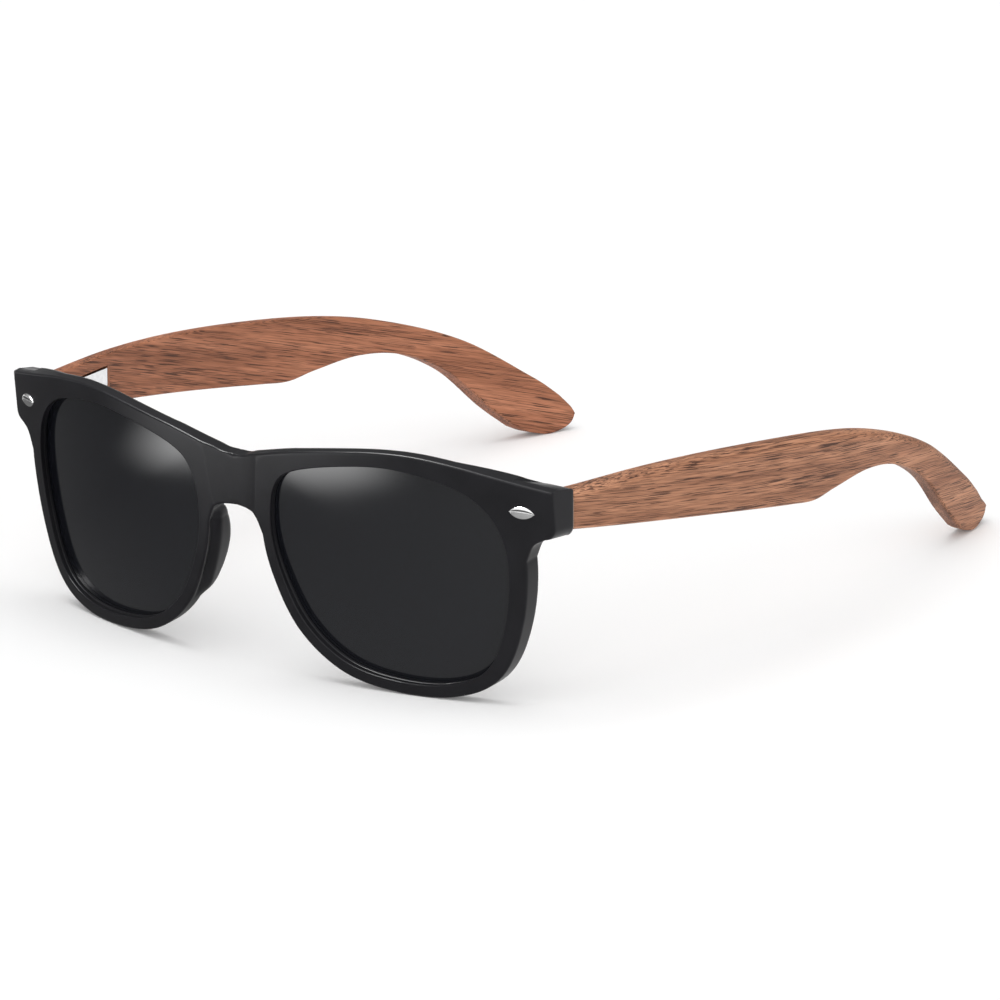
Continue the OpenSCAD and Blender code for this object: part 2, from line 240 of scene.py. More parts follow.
def onGrain(tree, scale):
    # the place in the wood, from the temple's own attribute
    return scaled(tree, add(tree, "ShaderNodeAttribute", attribute_name="grain").outputs["Vector"], scale)


def marked(tree, name):
    return add(tree, "ShaderNodeAttribute", attribute_name=name).outputs["Fac"]


def noise(tree, vector, detail=4.0, roughness=0.55):
    node = add(tree, "ShaderNodeTexNoise", Scale=1.0, Detail=detail, Roughness=roughness)
    feed(tree, node.inputs["Vector"], vector)
    return node.outputs["Fac"]


def ramp(tree, factor, stops):
    # a colour ramp through (place, colour) stops
    node = tree.nodes.new("ShaderNodeValToRGB")
    line = node.color_ramp.elements
    for spare in list(line)[1:]:
        line.remove(spare)
    for number, (at, colour) in enumerate(stops):
        stop = line[0] if number == 0 else line.new(at)
        stop.position = at
        stop.color = (*colour, 1)
    feed(tree, node.inputs["Fac"], factor)
    return node.outputs["Color"]


def mixColour(tree, factor, first, second, blend="MIX"):
    # inputs 0, 6 and 7 are the factor and the two colours, and output 2 is the mixed colour
    node = add(tree, "ShaderNodeMix", data_type="RGBA", blend_type=blend)
    for number, value in ((0, factor), (6, first), (7, second)):
        feed(tree, node.inputs[number], value)
    return node.outputs[2]


def calculate(tree, operation, *values):
    node = add(tree, "ShaderNodeMath", operation=operation)
    for socket, value in zip(node.inputs, values):
        feed(tree, socket, value)
    return node.outputs[0]


def fromTo(tree, factor, low, high, start=0, end=1, curve="LINEAR"):
    # the range start to end brought to the range low to high
    node = add(tree, "ShaderNodeMapRange", interpolation_type=curve)
    for name, value in (("From Min", start), ("From Max", end), ("To Min", low), ("To Max", high)):
        node.inputs[name].default_value = value
    feed(tree, node.inputs["Value"], factor)
    return node.outputs["Result"]


def bump(tree, shader, height, strength, distance):
    node = add(tree, "ShaderNodeBump", Strength=strength, Distance=distance)
    feed(tree, node.inputs["Height"], height)
    feed(tree, shader.inputs["Normal"], node.outputs["Normal"])


mouldedBlack = {
    "dark": (0.0082, 0.008, 0.0098), "light": (0.012, 0.0117, 0.0142), "gloss": (0.26, 0.33), "shine": 0.26,
    "cloud": (120, 120, 120), "skin": (5200, 5200, 5200), "skinBump": (0.12, 0.00004),
}


def mouldedPlastic():
    # satin moulded plastic: faint cloudy tone, uneven gloss and a very fine skin
    look = mouldedBlack
    material, tree, shader = newMaterial("mouldedPlastic")
    cloud = noise(tree, onPiece(tree, look["cloud"]), 3)
    skin = noise(tree, onPiece(tree, look["skin"]), 2)
    feed(tree, shader.inputs["Base Color"], ramp(tree, cloud, [(0.3, look["dark"]), (0.75, look["light"])]))
    feed(tree, shader.inputs["Roughness"], fromTo(tree, cloud, *look["gloss"]))
    shader.inputs["Specular IOR Level"].default_value = look["shine"]
    bump(tree, shader, skin, *look["skinBump"])
    return material


smokeTint = {
    "low": (0.0048, 0.0053, 0.0078), "high": (0.0042, 0.0047, 0.0068), "heights": (0.004, 0.05),
    "haze": (70, 70, 70), "gloss": (0.1, 0.15), "shine": 0.75,
}


def smokeLens():
    # dark polished lens, a little lighter towards its lower edge, with uneven gloss
    look = smokeTint
    material, tree, shader = newMaterial("smokeLens")
    split = add(tree, "ShaderNodeSeparateXYZ")
    feed(tree, split.inputs["Vector"], add(tree, "ShaderNodeTexCoord").outputs["Object"])
    height = fromTo(tree, split.outputs["Z"], 0, 1, *look["heights"])
    feed(tree, shader.inputs["Base Color"], ramp(tree, height, [(0, look["low"]), (1, look["high"])]))
    haze = noise(tree, onPiece(tree, look["haze"]), 2)
    feed(tree, shader.inputs["Roughness"], fromTo(tree, haze, *look["gloss"]))
    shader.inputs["Specular IOR Level"].default_value = look["shine"]
    return material


# lay is the pattern's scale, so the drawing lines run along its smallest number
metalLook = {
    "studSteel": {
        "dark": (0.8, 0.8, 0.8), "light": (0.9, 0.9, 0.9), "gloss": (0.14, 0.22), "lay": (900, 900, 900), "skin": 0.03,
        # the stud's dark line colour is a painted reflection
        "groove": (0.03, 0.03, 0.03, 1),
    },
    "polishedSteel": {
        "dark": (0.74, 0.74, 0.75), "light": (0.84, 0.84, 0.85), "gloss": (0.08, 0.16), "lay": (900, 900, 900),
        "skin": 0.03,
    },
    "hingeSteel": {
        "dark": (0.55, 0.55, 0.56), "light": (0.72, 0.72, 0.73), "gloss": (0.2, 0.34), "lay": (3000, 260, 3000),
        "skin": 0.15,
    },
    "springSteel": {
        "dark": (0.32, 0.33, 0.35), "light": (0.45, 0.46, 0.48), "gloss": (0.2, 0.3), "lay": (2500, 2500, 2500),
        "skin": 0.1,
    },
    "bushBrass": {
        "dark": (0.55, 0.38, 0.14), "light": (0.68, 0.5, 0.22), "gloss": (0.2, 0.32), "lay": (3000, 260, 3000),
        "skin": 0.12,
    },
}


def drawnMetal(name):
    # metal with fine drawing lines: noise stretched along them drives tone, gloss and skin;
    # the colour is darkened where the piece's own attribute marks it, as a painted dark reflection
    look = metalLook[name]
    material, tree, shader = newMaterial(name)
    lines = noise(tree, onPiece(tree, look["lay"]), 3, 0.6)
    tone = ramp(tree, lines, [(0.3, look["dark"]), (0.7, look["light"])])
    if "groove" in look:
        # painted reflection: the stud's line is darkened in its colour
        tone = mixColour(tree, marked(tree, "paintedReflectionLine"), tone, look["groove"])
    feed(tree, shader.inputs["Base Color"], tone)
    feed(tree, shader.inputs["Roughness"], fromTo(tree, lines, *look["gloss"]))
    shader.inputs["Metallic"].default_value = 1.0
    bump(tree, shader, lines, look["skin"], 0.00003)
    return material


walnutTone = {
    "left": {
        "pale": (0.56, 0.282, 0.165), "middle": (0.435, 0.205, 0.116), "deep": (0.27, 0.118, 0.066), "poreFrom": 0.75,
    },
    "right": {
        "pale": (0.52, 0.222, 0.124), "middle": (0.405, 0.161, 0.086), "deep": (0.26, 0.098, 0.05), "poreFrom": 0.765,
    },
    # the end grain colour darkens end grain, partly for its oil and partly as painted shade
    "pore": (0.06, 0.025, 0.017, 1), "cutEnd": (0.72, 0.52, 0.40, 1), "endGrainAndShade": (0.4, 0.36, 0.38, 1),
    "fibres": [(0.3, (0.5, 0.46, 0.44)), (0.5, (0.95, 0.94, 0.93)), (0.7, (1.25, 1.25, 1.25))],
    "figure": (13, 260, 260), "fibre": (80, 3000, 3000), "pores": (105, 6000, 6000), "poreBands": (26, 420, 420),
    "bandWeight": 0.38, "poreSoft": 0.045, "poreCover": 0.92, "poreDepth": 1.2,
    "gloss": (0.46, 0.6), "shine": 0.22, "skinBump": (0.35, 0.00006),
}


def oiledWalnut(name):
    # long slow figure, fine fibres and short dark pores in bands, all drawn out along the temple's own grain;
    # end grain is darker, partly for the oil it drinks and partly as painted shade, and the chamfer at the cut end is
    # paler, from the piece's attributes
    look, tone = walnutTone, walnutTone[name]
    material, tree, shader = newMaterial(name + "OiledWalnut")
    figure = noise(tree, onGrain(tree, look["figure"]), 4, 0.62)
    fibre = noise(tree, onGrain(tree, look["fibre"]), 3, 0.65)
    poreShape = noise(tree, onGrain(tree, look["pores"]), 1.0, 0.5)
    poreWhere = noise(tree, onGrain(tree, look["poreBands"]), 2)
    body = ramp(tree, figure, [(0.32, tone["deep"]), (0.5, tone["middle"]), (0.68, tone["pale"])])
    fibred = mixColour(tree, 1.0, body, ramp(tree, fibre, look["fibres"]), "MULTIPLY")
    both = calculate(tree, "MULTIPLY_ADD", poreWhere, look["bandWeight"], poreShape)
    poreStops = [(tone["poreFrom"], (0, 0, 0)), (tone["poreFrom"] + look["poreSoft"], (look["poreCover"],) * 3)]
    pores = ramp(tree, both, poreStops)
    pored = mixColour(tree, pores, fibred, look["pore"])
    # painted shade, in part: end grain is darkened for its oil and to stand for shade
    darkenedEnd = mixColour(tree, 1.0, pored, look["endGrainAndShade"], "MULTIPLY")
    endDarkened = mixColour(tree, marked(tree, "endGrainAndShade"), pored, darkenedEnd)
    ended = mixColour(tree, marked(tree, "cutEnd"), endDarkened, look["cutEnd"])
    feed(tree, shader.inputs["Base Color"], ended)
    feed(tree, shader.inputs["Roughness"], fromTo(tree, fibre, *look["gloss"]))
    shader.inputs["Specular IOR Level"].default_value = look["shine"]
    bump(tree, shader, calculate(tree, "MULTIPLY_ADD", pores, -look["poreDepth"], fibre), *look["skinBump"])
    return material


plastic = mouldedPlastic()
lensTint = smokeLens()
walnut = {name: oiledWalnut(name) for name in sides}
metals = {name: drawnMetal(name) for name in metalLook}
print("materials made")

# the lens opening, upright, in millimetres; its points are shares of its width and height, clockwise from the nose
openingShape = {
    "inner": 9.4, "width": 51.6, "low": 2.5, "height": 45.9,
    "shares": [
        (0, 0.634), (0.027, 0.828), (0.118, 0.924), (0.34, 0.985), (0.574, 1), (0.816, 0.932), (0.948, 0.8),
        (0.995, 0.6), (0.97, 0.32), (0.888, 0.094), (0.735, 0.005), (0.515, 0), (0.302, 0.06), (0.134, 0.213),
        (0.035, 0.434),
    ],
}
openingPoints = np.array(openingShape["shares"]) * (openingShape["width"], openingShape["height"])
openingPoints += (openingShape["inner"], openingShape["low"])
spans = len(openingPoints)


def openingAt(t):
    # the opening's outline and its outward normal; t counts its spans
    nudge = 0.02
    here = smoothThrough(openingPoints, t, True)
    ahead = smoothThrough(openingPoints, t + nudge, True) - smoothThrough(openingPoints, t - nudge, True)
    normal = np.stack([-ahead[:, 1], ahead[:, 0]], -1)
    return here, normal / np.linalg.norm(normal, axis=1)[:, None]


outlineShape = {
    "across": 70.0, "endTop": 45.2, "endLow": 35.0, "cornerRadius": 2.0, "under": (65.7, 1.4),
    "archHeight": 34.6, "archIn": (1.6, 3.6), "archDrop": (1.2, 0.3), "bridgeHeight": 45.7,
    "brow": [(0, 45.7), (2.82, 45.9), (6.4, 47.1), (18.17, 49.8), (36.23, 51.8), (50.16, 50.5), (70, 45.2)],
    "browOfSpan": {2: 2.8, 3: 3.5, 4: 4.2, 5: 5.2},
    "rimSide": 3.5, "rimLow": 2.5, "rimLowFrom": 11,
}
# the span count at which each stretch of the outline starts
stretch = {"middle": 0.55, "brow": 1.3, "side": 5.6, "corner": 6.3, "rim": 7.0, "arch": spans - 1 / 6}


def shareOf(t, start, end):
    return (t - start) / (end - start)


def outlineAt(t):
    # the outer edge matched to the opening's t: rim offset, arch, middle line, brow, endpiece side and corner
    s = outlineShape
    here, normal = openingAt(t)
    rim = np.interp(t, [stretch["rim"], s["rimLowFrom"], spans], [s["rimSide"], s["rimLow"], s["rimLow"]])
    out = here + rim[:, None] * normal
    across, low, r = s["across"], s["endLow"], s["cornerRadius"]

    edge, way = openingAt(np.array([stretch["rim"], stretch["arch"]]))
    rimStart = edge[0] + s["rimSide"] * way[0]
    rimEnd = edge[1] + s["rimLow"] * way[1]

    late = np.where(t < stretch["middle"], t + spans, t)
    pick = late >= stretch["arch"]
    shoulders = [(rimEnd[0] - inwards, s["archHeight"] - drop) for inwards, drop in zip(s["archIn"], s["archDrop"])]
    arch = smoothThrough([rimEnd, *shoulders, (0, s["archHeight"])], np.linspace(0, 3, 90))
    share = shareOf(late, stretch["arch"], spans + stretch["middle"])
    out[pick] = atShare(arch, share[pick])

    pick = (t >= stretch["middle"]) & (t < stretch["brow"])
    share = shareOf(t, stretch["middle"], stretch["brow"])
    rise = s["bridgeHeight"] - s["archHeight"]
    out[pick] = np.stack([0 * share, s["archHeight"] + share * rise], -1)[pick]

    pick = (t >= stretch["brow"]) & (t < stretch["side"])
    spanAt = [stretch["brow"], *s["browOfSpan"], stretch["side"]]
    along = np.interp(t, spanAt, [0, *s["browOfSpan"].values(), len(s["brow"]) - 1])
    out[pick] = smoothThrough(s["brow"], along[pick])

    pick = (t >= stretch["side"]) & (t < stretch["corner"])
    share = shareOf(t, stretch["side"], stretch["corner"])
    fall = s["endTop"] - low - r
    out[pick] = np.stack([0 * share + across, s["endTop"] - share * fall], -1)[pick]

    pick = (t >= stretch["corner"]) & (t < stretch["rim"])
    turn = np.radians(np.arange(0, -91, -6))
    corner = np.stack([across - r + r * np.cos(turn), low + r + r * np.sin(turn)], -1)
    bend = s["under"][0], low - s["under"][1]
    under = smoothThrough([(across - r, low), bend, rimStart], np.linspace(0, 2, 40))
    share = shareOf(t, stretch["corner"], stretch["rim"])
    out[pick] = atShare(np.vstack([corner, under[1:]]), share[pick])
    return out


# rows are distances in millimetres from the opening, from the outer edge or past the line where the block starts;
# columns and the names with Spans are span counts of the opening
frontShape = {
    "thick": 4.4, "faceRound": 0.42, "openingRound": 0.14, "backRound": 0.9,
    "browRound": 1.8, "browFullSpans": (1.3, 2.2), "browEndSpan": 4.8, "browGap": 0.02,
    "scoop": 0.95, "scoopHalf": 5.5, "scoopWiden": 0.13,
    "bridgeBack": 0.8, "bridgeReach": 15.0, "bridgeFrom": 4.0, "bridgeFull": 46.0,
    "blockInner": 61.4, "blockFrom": 5.33, "blockTo": 6.5, "blockNearSpans": (5.23, 6.8), "blockRound": 0.45,
    "blockColumns": (5.315, 5.32, 6.51, 6.525), "blockRoom": (0.62, 1.2), "blockBlend": 2.0,
    "blockFallLow": 0.17, "blockFallTop": 0.3, "blockFallIn": 0.02, "blockFallFrom": 2.0,
    "padReach": 8.0, "padMiddle": 20.6, "padSpan": 14.142, "padLean": math.radians(8.13),
    "padStartSpan": 10, "padEndSpans": (15.0, 15.35), "padRise": 2.2, "padInset": (0.15, 1.3), "padSoften": 0.5,
    "padBulge": 0.9, "padCrease": 0.3, "padCreaseWide": 0.45, "padFrom": 1.5, "padFull": 4.0,
    "stepDepth": 1.15, "stepIn": 0.03, "grooveFront": 1.9, "grooveBack": 3.7, "grooveDeep": 0.85,
    "columnsPerSpan": 30, "openingRows": [0, 0.05, 0.13, 0.27, 0.45], "blockRows": [0.03, 0.15, 0.4],
    "faceEdgeRows": [0.85, 0.55, 0.32, 0.16, 0.05, 0], "rearEdgeRows": [0.7, 0.45, 0.25, 0.1, 0.03, 0],
    "faceRows": 30, "rearInRows": 3, "rearOutRows": 6, "wallRows": 11,
}


def padReach(v):
    # depth of the D-shaped nose pad at a height: reach * cos(asin((v - middle) / span) - lean)
    s = frontShape
    turn = np.arcsin(np.clip((v - s["padMiddle"]) / s["padSpan"], -1, 1)) - s["padLean"]
    return s["padReach"] * np.cos(turn) * (np.abs(v - s["padMiddle"]) < s["padSpan"])


def bridgeBack(u, v):
    # how far the moulding is set back about the bridge: depth * smooth(height) * exp(-(u / reach)^2)
    s = frontShape
    return s["bridgeBack"] * smoothStep(v, s["bridgeFrom"], s["bridgeFull"]) * np.exp(-((u / s["bridgeReach"]) ** 2))


def hingePlane(u, v):
    # depth at which the endpiece ends: the plane square to the temple just ahead of the hinge plate's face
    c, s = math.cos(hingePlace["splay"]), math.sin(hingePlace["splay"])
    back = hingePlace["y"] + (hingePlace["plateY"] - hingePlace["plateGap"] - s * (u - hingePlace["x"])) / c
    return (back + frontPlace["originY"] + v * math.sin(frontPlace["tilt"])) / math.cos(frontPlace["tilt"])


def blockDrop(u, v, depth):
    # how far the endpiece falls by a depth: rate * depth at its underside, and at its top
    # rate * (depth behind the start of the fall), with a rate that grows inwards
    s = frontShape
    upper = smoothStep(v, outlineShape["endLow"] + s["blockBlend"], outlineShape["endTop"] - s["blockBlend"])
    topRate = s["blockFallTop"] + s["blockFallIn"] * (outlineShape["across"] - u)
    return (1 - upper) * s["blockFallLow"] * depth + upper * topRate * np.maximum(depth - s["blockFallFrom"], 0)


def rowPlaces(length, first, last, count):
    # distances along lines of the given lengths: fixed steps at both ends and even steps between
    between = np.linspace(0, 1, count + 2)[1:-1, None]
    start = np.array(first)[:, None] + 0 * length
    end = length - np.array(last)[:, None]
    return np.vstack([start, start[-1] + between * (end[0] - start[-1]), end])


def mouldedFront():
    # a closed profile for each t of the opening: face out, outer wall back, rear face in, opening's wall forward;
    # the left half is mirrored across the middle line
    s = frontShape
    t = np.concatenate([
        np.arange(0, spans, 1 / s["columnsPerSpan"]), list(stretch.values()),
        [s["blockFrom"], s["blockTo"], *s["blockColumns"]],
    ])
    t = np.unique(np.round(t, 5))
    inner, normal = openingAt(t)
    outer = outlineAt(t)
    cols = len(t)
    middle = (t >= stretch["middle"]) & (t <= stretch["brow"] + 1e-6)
    innerEnds = inner, np.roll(inner, -1, axis=0)

    def segments(loop):
        # both halves of the outer edge, without the middle line
        keep = ~(middle & np.roll(middle, -1))
        a, b = loop[keep], np.roll(loop, -1, axis=0)[keep]
        return np.vstack([a, a * (-1, 1)]), np.vstack([b, b * (-1, 1)])

    def across(far, length, places):
        # points at distances from the opening towards the far edge
        step = places / length
        return inner[:, 0] + step * (far - inner)[:, 0], inner[:, 1] + step * (far - inner)[:, 1]

    # face, with the bridge's scoop: depth * (1 - (u / half)^2), wider towards the top
    length = np.linalg.norm(outer - inner, axis=1)
    u, v = across(outer, length, rowPlaces(length, s["openingRows"], s["faceEdgeRows"], s["faceRows"]))
    scoopHalf = s["scoopHalf"] + s["scoopWiden"] * (v - outlineShape["archHeight"])
    scoop = s["scoop"] * np.clip(1 - (u / scoopHalf) ** 2, 0, 1)
    w = sag(u) + bridgeBack(u, v) + scoop + roundOff(edgeDistance(u, v, *segments(outer)), s["faceRound"])
    w += roundOff(edgeDistance(u, v, *innerEnds), s["openingRound"])
    face = u, w, v

    # how much of a nose pad each column carries, and its bulge towards the nose
    late = np.where(t < 1, t + spans, t)
    pad = np.where(late > s["padStartSpan"], padReach(outer[:, 1]), 0) * (1 - smoothStep(late, *s["padEndSpans"]))
    padShare = np.clip((pad - sag(outer[:, 0]) - s["thick"]) / s["padRise"], 0, 1)
    padShare = smoothStep(padShare, 0, 1)
    swollen = outer + (s["padBulge"] * padShare)[:, None] * normal

    # rear face, with the endpiece's block and the pads
    length = np.linalg.norm(swollen - inner, axis=1)
    run = (swollen - inner)[:, 0]
    crossing = (s["blockInner"] - inner[:, 0]) / np.where(np.abs(run) < 1e-6, 1, run)
    nearBlock = (t > s["blockNearSpans"][0]) & (t < s["blockNearSpans"][1])
    split = np.where(nearBlock, crossing, 0.5) * length
    split = np.clip(split, s["blockRoom"][0], length - s["blockRoom"][1])
    head = rowPlaces(split, s["openingRows"], s["blockRows"][:1], s["rearInRows"])
    tail = rowPlaces(length - split, s["blockRows"], s["rearEdgeRows"], s["rearOutRows"]) + split
    u, v = across(swollen, length, np.vstack([head, tail]))
    outDistance = edgeDistance(u, v, *segments(swollen))
    inDistance = edgeDistance(u, v, *innerEnds)
    rim = sag(u) + s["thick"] + bridgeBack(u, v)
    raised = np.maximum(pad - rim, 0) * smoothStep(inDistance, *s["padInset"])
    browShare = smoothStep(t, *s["browFullSpans"])
    browShare = browShare * (1 - smoothStep(t, s["browEndSpan"], s["blockFrom"] - s["browGap"]))
    backRound = (s["backRound"] + s["browRound"] * browShare) * (1 + s["padSoften"] * padShare)
    w = rim + raised - roundOff(outDistance, backRound) - roundOff(inDistance, s["openingRound"])
    block = np.zeros(u.shape, bool)
    block[len(head):] = (t >= s["blockFrom"] - 1e-6) & (t <= s["blockTo"] + 1e-6)
    blockEdge = np.minimum(outDistance, u - s["blockInner"])
    v = np.where(block, v - blockDrop(u, v, hingePlane(u, v) - sag(u)), v)
    w = np.where(block, hingePlane(u, v) - roundOff(blockEdge, s["blockRound"]), w)
    rear = u[::-1], w[::-1], v[::-1]

    # outer wall between the two, with the crease and the swell of the pads
    q = np.linspace(0, 1, s["wallRows"] + 2)[1:-1, None]
    top, low = face[1][-1], rear[1][0]
    w = top + q * (low - top)
    depth = w - sag(outer[:, 0])
    swell = s["padBulge"] * smoothStep(depth, s["padFrom"], s["padFull"])
    swell -= s["padCrease"] * np.exp(-(((depth - s["padFrom"]) / s["padCreaseWide"]) ** 2))
    u = outer[:, 0] + padShare * swell * normal[:, 0]
    v = outer[:, 1] + padShare * swell * normal[:, 1]
    v = v - np.where(block[-1], blockDrop(outer[:, 0], outer[:, 1], depth), 0)
    wall = u, w, v

    # opening's wall: (depth, how far it stands out of the opening's outline)
    steps = [
        (s["thick"] - 0.5, 0), (s["grooveBack"], 0), (s["grooveBack"], s["grooveDeep"]),
        (s["grooveFront"], s["grooveDeep"]), (s["grooveFront"], -s["stepIn"]), (s["stepDepth"] + 0.12, -s["stepIn"]),
        (s["stepDepth"], -s["stepIn"] + 0.1), (s["stepDepth"] - 0.03, 0), (s["stepDepth"] - 0.4, 0),
        (s["openingRound"] + 0.1, 0),
    ]
    depth, shift = np.array(steps).T[:, :, None]
    u = inner[:, 0] + shift * normal[:, 0]
    v = inner[:, 1] + shift * normal[:, 1]
    w = sag(u) + depth + bridgeBack(u, v) * (1 - smoothStep(depth, s["openingRound"], s["stepDepth"]))
    lining = u, w, v

    u, w, v = (np.vstack([part[k] for part in (face, wall, rear, lining)]) for k in range(3))
    u = np.where(np.abs(u) < 1e-6, 0, u)
    quads = gridQuads(len(u), cols, True, True)
    r, c = quads[:, 0] // cols, quads[:, 0] % cols
    inWall = (r >= len(face[0]) - 1) & (r < len(face[0]) + len(wall[0]))
    quads = quads[~(inWall & middle[c] & np.roll(middle, -1)[c])]
    half = placeFront(u, w, v).reshape(-1, 3)
    points = np.vstack([half, half * (-1, 1, 1)])
    faces = np.vstack([quads, quads[:, ::-1] + len(half)])
    return newPiece("front_moulding", points, faces, plastic, 42)


settle(mouldedFront(), "front", "black_plastic", "front_frame")
print("front moulded")

lensShape = {"recess": 2.0, "thick": 1.6, "grow": 0.6, "crown": 1.0, "middle": (35.5, 26.5), "columnsPerSpan": 16}


def lensPiece(name, side):
    # rings between the lens's middle and its edge; crown * (1 - rho^2) lifts the face, and the rear follows it
    s = lensShape
    t = np.arange(0, spans, 1 / s["columnsPerSpan"])
    edge, normal = openingAt(t)
    edge = edge + s["grow"] * normal
    rho = np.concatenate([[0], np.linspace(0.04, 0.9, 22), [0.93, 0.96, 0.98, 1.0]])[:, None]
    u = s["middle"][0] + rho * (edge[:, 0] - s["middle"][0])
    v = s["middle"][1] + rho * (edge[:, 1] - s["middle"][1])
    w = sag(u) + s["recess"] - s["crown"] * (1 - rho**2)
    front = np.stack([u, w, v])
    back = np.stack([u, w + s["thick"], v])[:, ::-1]
    u, w, v = np.concatenate([front, back], 1)
    points = placeFront(u, w, v).reshape(-1, 3) * (side, 1, 1)
    return newPiece(name, points, gridQuads(len(u), len(t), False, True), lensTint, 50)


for name, side in sides.items():
    settle(lensPiece(name + "_lens_glass", side), "front", "smoke_lens", name + "_lens")
print("lenses set")

studShape = {
    "u": 64.2, "v": 40.9, "long": 5.3, "high": 2.8, "rise": 0.6, "sink": 0.45, "slope": math.radians(7),
    "domeLong": 0.6, "domeHigh": (2.2, 0.55), "lineAt": 0.42, "lineWide": 0.13, "lineDeep": 0.1, "lineLong": 0.5,
}
studLean = math.asin(studShape["u"] / frontPlace["wrapRadius"])


def almondHalf(x):
    # half the height of an almond of two arcs: sqrt(r^2 - x^2) - (r - high / 2)
    s = studShape
    radius = (s["long"] ** 2 + s["high"] ** 2) / (4 * s["high"])
    return np.sqrt(np.maximum(radius**2 - x**2, 0)) - (radius - s["high"] / 2)


def studLine(e):
    # the share of the groove line, and of its painted dark reflection, at a share e of the almond's half height:
    # exp(-((e - at) / wide)^2)
    return np.exp(-(((e - studShape["lineAt"]) / studShape["lineWide"]) ** 2))


def studPiece(name, side):
    # an almond; rise * (1 - a^2)^p * (1 - |e|^q)^r is its dome, with a shallow groove above its middle whose dark
    # colour is a painted reflection
    s = studShape
    a = np.linspace(-1, 1, 61)
    x = a * s["long"] / 2
    e = np.concatenate([[-1.0, -0.97, -0.9], np.linspace(-0.8, 0.8, 65), [0.9, 0.97, 1.0]])[:, None]
    z = e * almondHalf(x)
    dome = s["rise"] * (1 - a**2) ** s["domeLong"]
    dome = dome * np.clip(1 - np.abs(e) ** s["domeHigh"][0], 0, 1) ** s["domeHigh"][1]
    line = studLine(e) * (1 - a**2) ** s["lineLong"]
    top = np.stack([x + 0 * z, z, dome - s["lineDeep"] * line])
    foot = np.stack([x + 0 * z, z, 0 * z - s["sink"]])[:, ::-1]
    x, z, rise = np.concatenate([top, foot], 1)
    c, d = math.cos(s["slope"]), math.sin(s["slope"])
    x, z = x * c + z * d, z * c - x * d
    u = s["u"] + x * math.cos(studLean) + rise * math.sin(studLean)
    w = sag(s["u"]) + x * math.sin(studLean) - rise * math.cos(studLean)
    points = placeFront(u, w, s["v"] + z).reshape(-1, 3) * (side, 1, 1)
    piece = newPiece(name, points, gridQuads(len(u), len(a), True, False), metals["studSteel"], 50)
    markPaintedReflection(piece.data, side)
    return piece


def markPaintedReflection(mesh, side):
    # marks the groove line for its painted dark reflection, from each vertex's own place on the almond
    s = studShape
    co = vertexValues(mesh.vertices, "co", len(mesh.vertices)).astype(float) / mm * (side, 1, 1)
    middle = placeFront(np.array(s["u"]), np.array(sag(s["u"])), np.array(s["v"])) / mm
    out, back, high = (co - middle).T
    c, d = math.cos(frontPlace["tilt"]), math.sin(frontPlace["tilt"])
    depth, up = back * c + high * d, high * c - back * d
    c, d = math.cos(studLean), math.sin(studLean)
    along, rise = out * c + depth * d, out * d - depth * c
    c, d = math.cos(s["slope"]), math.sin(s["slope"])
    x, z = along * c - up * d, up * c + along * d
    e = z / np.maximum(almondHalf(x), 0.05)
    # painted reflection: the mask for the stud's dark line
    mark(mesh, "paintedReflectionLine", studLine(e) * (rise > -0.05))


for name, side in sides.items():
    settle(studPiece(name + "_almond_stud", side), "front", "polished_steel", name + "_front_stud")
print("studs set")

# rounds are of the section's corners, and slant is of the grain on each side
templeShape = {
    "long": 151.5, "thick": 4.0, "out": 4.5, "bowRadius": 365.0, "bowFrom": 13.0, "front": -1.2,
    "startTop": 45.067, "startLow": 36.967, "elbowLow": 25.267,
    "rounds": {"outTop": 2.2, "inTop": 0.5, "inLow": 0.5, "outLow": 0.9},
    "slant": {1: math.radians(-8), -1: math.radians(-16)},
    "run": 190, "chamferLong": 0.45, "chamferDeep": 0.35, "cutEndLong": 0.2, "cutEndShare": 0.8,
    "pocketRadius": 2.05, "pocketHigh": 6.0, "pocketFront": -3.0,
    "recessFrom": (-4, -0.2), "recessDeep": 3.25, "recessEnd": 17.0, "recessLow": -2.6, "recessTop": 1.9,
}
cornerTurns = {"outTop": (1, 1, 0), "inTop": (-1, 1, 90), "inLow": (-1, -1, 180), "outLow": (1, -1, 270)}


def templeEdges(share):
    # upper and lower edges of the temple at shares of their lengths, from the hinge to the tip
    s = templeShape
    l, top, elbow = s["long"], s["startTop"], s["elbowLow"]
    upper = denseCurve([
        (s["front"], top), (l * 0.16, top - 0.5), (l * 0.34, top - 2.8), (l * 0.55, top - 7.3), (l * 0.69, top - 12.6),
        (l * 0.82, top - 20.5), (l * 0.93, 13.8), (l - 4.6, 9.2), (l - 2.3, 7.0),
    ])
    tip = denseCurve([
        (l - 2.3, 7.0), (l - 0.6, 5.0), (l, 3.3), (l - 1.3, 1.1), (l - 5.5, 0), (l - 10, 1), (l - 13.4, 2.6),
    ])
    hook = denseCurve([
        (l - 13.4, 2.6), (l - 20.5, 8.4), (l - 31, elbow - 7.1), (l - 43, elbow - 0.8), (l - 55, elbow + 1.5),
        (l / 2 + 8, elbow + 0.9), (l / 2, elbow + 0.15), (l / 2 - 8, elbow + 1.25),
    ])
    lower = denseCurve([
        (l / 2 - 8, elbow + 1.25), (l / 4, (s["startLow"] + elbow) / 2 + 0.2), (s["front"], s["startLow"]),
    ])
    far = int(np.argmax(tip[:, 0]))
    above = np.vstack([upper, tip[1:far + 1]])
    below = np.vstack([tip[far:], hook[1:], lower[1:]])[::-1]
    return atShare(above, share), atShare(below, share)


def boxCutter(name, low, high, side):
    # a plain box in the hinge's frame, used once to cut and then removed
    x, y, z = np.meshgrid(*zip(low, high), indexing="ij")
    points = placeHinge(x.ravel(), y.ravel(), z.ravel(), side)
    quads = [(0, 1, 3, 2), (4, 6, 7, 5), (0, 4, 5, 1), (2, 3, 7, 6), (0, 2, 6, 4), (1, 5, 7, 3)]
    return newPiece(name, points, quads, walnut["left"])


